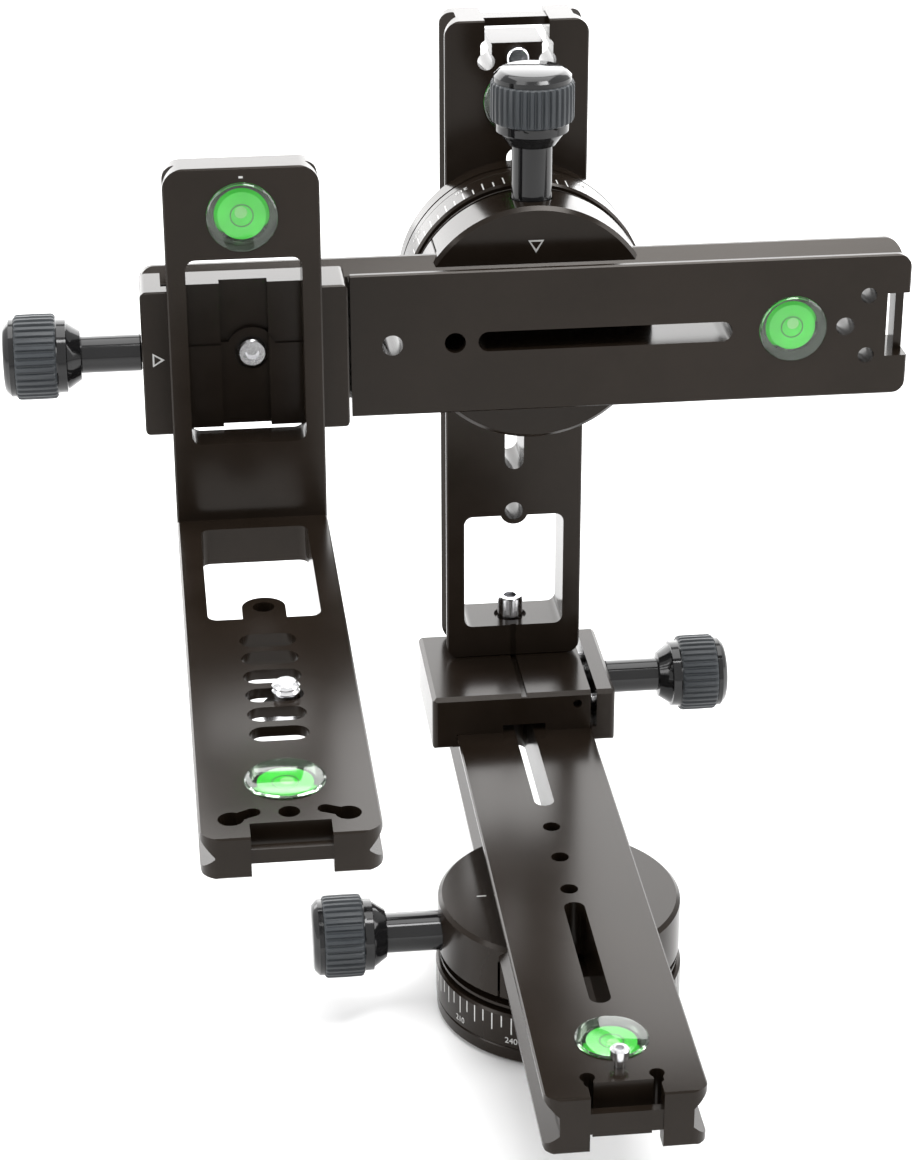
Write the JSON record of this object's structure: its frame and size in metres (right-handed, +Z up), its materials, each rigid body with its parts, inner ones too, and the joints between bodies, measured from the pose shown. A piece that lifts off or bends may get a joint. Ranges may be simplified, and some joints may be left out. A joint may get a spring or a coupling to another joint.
{
  "type": "panoramic tripod head",
  "caption": "Multi-row panoramic tripod head: indexed pan base, dovetail lower rail, post, tilt rotator, upper rail and an L-shaped camera bracket, all held by knob clamps.",
  "frame": {"origin": "centre of the base's bottom face, on the pan axis", "axes": "+Z up along the pan axis; +Y away from the lens, along the lower rail to the post; +X to the right, along the upper rail"},
  "size_m": [0.231, 0.2438, 0.2404],
  "materials": {
    "anodised": "black anodised, satin",
    "gloss_black": "black anodised, polished",
    "grip": "ridged, slate grey",
    "stainless": "bright stainless",
    "spring_steel": "oiled spring wire",
    "brass": "turned",
    "nylon": "natural, low friction",
    "level": "clear vial over green fluid"
  },
  "bodies": {
    "base": {"base_plate": "anodised", "base_housing": "anodised", "base_screws": "stainless"},
    "pan_head": {"pan_clamp_body": "anodised", "pan_spacer_ring": "anodised", "pan_thrust_washer": "nylon", "pan_retainer": "brass", "pan_retainer_screws": "stainless"},
    "pan_clamp_jaw": {"pan_jaw": "anodised", "pan_jaw_pins": "stainless", "pan_jaw_springs": "spring_steel"},
    "pan_knob": {"pan_knob_stud": "gloss_black", "pan_knob_grip": "grip"},
    "lower_arm": {"lower_rail": "anodised", "lower_level": "level", "lower_stop_screw": "stainless"},
    "post_carriage": {"post_clamp_body": "anodised", "post": "anodised", "post_screw": "stainless", "post_level": "level", "post_stop_screw": "stainless"},
    "post_clamp_jaw": {"post_jaw": "anodised", "post_jaw_pins": "stainless", "post_jaw_springs": "spring_steel"},
    "post_knob": {"post_knob_stud": "gloss_black", "post_knob_grip": "grip"},
    "tilt_mount": {"tilt_base_plate": "anodised", "tilt_housing": "anodised", "tilt_screws": "stainless", "tilt_mount_plate": "anodised", "tilt_bolt": "stainless", "tilt_washer": "stainless"},
    "tilt_head": {"tilt_clamp_body": "anodised", "tilt_spacer_ring": "anodised", "tilt_thrust_washer": "nylon", "tilt_retainer": "brass", "tilt_retainer_screws": "stainless"},
    "tilt_clamp_jaw": {"tilt_jaw": "anodised", "tilt_jaw_pins": "stainless", "tilt_jaw_springs": "spring_steel"},
    "tilt_knob": {"tilt_knob_stud": "gloss_black", "tilt_knob_grip": "grip"},
    "upper_arm": {"upper_rail": "anodised", "upper_level": "level", "end_clamp_body": "anodised", "end_clamp_bolt": "stainless"},
    "end_clamp_jaw": {"end_jaw": "anodised", "end_jaw_pins": "stainless", "end_jaw_springs": "spring_steel"},
    "end_knob": {"end_knob_stud": "gloss_black", "end_knob_grip": "grip"},
    "camera_bracket": {"l_bracket": "anodised", "bracket_levels": "level"},
    "camera_fastener": {"camera_screw": "stainless"}
  },
  "joints": [
    {"name": "pan_turn", "type": "hinge", "parent": "base", "child": "pan_head", "pos_m": [0, 0, 0.014], "axis": [0, 0, 1], "continuous": true},
    {"name": "pan_jaw_open", "type": "slide", "parent": "pan_head", "child": "pan_clamp_jaw", "axis": [-1, 0, 0], "range_m": [0, 0.00375]},
    {"name": "pan_knob_turn", "type": "hinge", "parent": "pan_clamp_jaw", "child": "pan_knob", "pos_m": [-0.04, 0, 0.024], "axis": [-1, 0, 0], "range_deg": [0, 1080]},
    {"name": "lower_slide", "type": "slide", "parent": "pan_head", "child": "lower_arm", "axis": [0, 1, 0], "range_m": [-0.055, 0.055]},
    {"name": "post_slide", "type": "slide", "parent": "lower_arm", "child": "post_carriage", "axis": [0, 1, 0], "range_m": [-0.1, 0.004]},
    {"name": "post_jaw_open", "type": "slide", "parent": "post_carriage", "child": "post_clamp_jaw", "axis": [1, 0, 0], "range_m": [0, 0.00375]},
    {"name": "post_knob_turn", "type": "hinge", "parent": "post_clamp_jaw", "child": "post_knob", "pos_m": [0.04, 0.0884, 0.0498], "axis": [1, 0, 0], "range_deg": [0, 1080]},
    {"name": "tilt_height", "type": "slide", "parent": "post_carriage", "child": "tilt_mount", "axis": [0, 0, -1], "range_m": [-0.006, 0.04]},
    {"name": "tilt_turn", "type": "hinge", "parent": "tilt_mount", "child": "tilt_head", "pos_m": [0, 0.06, 0.1708], "axis": [0, 1, 0], "range_deg": [-60, 180]},
    {"name": "tilt_jaw_open", "type": "slide", "parent": "tilt_head", "child": "tilt_clamp_jaw", "axis": [0, 0, 1], "range_m": [0, 0.00375]},
    {"name": "tilt_knob_turn", "type": "hinge", "parent": "tilt_clamp_jaw", "child": "tilt_knob", "pos_m": [0, 0.0634, 0.22], "axis": [0, 0, 1], "range_deg": [0, 1080]},
    {"name": "upper_slide", "type": "slide", "parent": "tilt_head", "child": "upper_arm", "axis": [-1, 0, 0], "range_m": [-0.03, 0.045]},
    {"name": "end_jaw_open", "type": "slide", "parent": "upper_arm", "child": "end_clamp_jaw", "axis": [-1, 0, 0], "range_m": [0, 0.00375]},
    {"name": "end_knob_turn", "type": "hinge", "parent": "end_clamp_jaw", "child": "end_knob", "pos_m": [-0.115, 0.046, 0.1708], "axis": [-1, 0, 0], "range_deg": [0, 1080]},
    {"name": "bracket_slide", "type": "slide", "parent": "upper_arm", "child": "camera_bracket", "axis": [0, 0, -1], "range_m": [-0.018, 0.028]},
    {"name": "camera_screw_turn", "type": "hinge", "parent": "camera_bracket", "child": "camera_fastener", "pos_m": [-0.0727, -0.0665, 0.126], "axis": [0, 0, 1], "continuous": true}
  ],
  "couplings": [
    {"joint": "pan_knob_turn", "follows": "pan_jaw_open", "rad_per_m": 5026.5},
    {"joint": "post_knob_turn", "follows": "post_jaw_open", "rad_per_m": 5026.5},
    {"joint": "tilt_knob_turn", "follows": "tilt_jaw_open", "rad_per_m": 5026.5},
    {"joint": "end_knob_turn", "follows": "end_jaw_open", "rad_per_m": 5026.5}
  ]
}
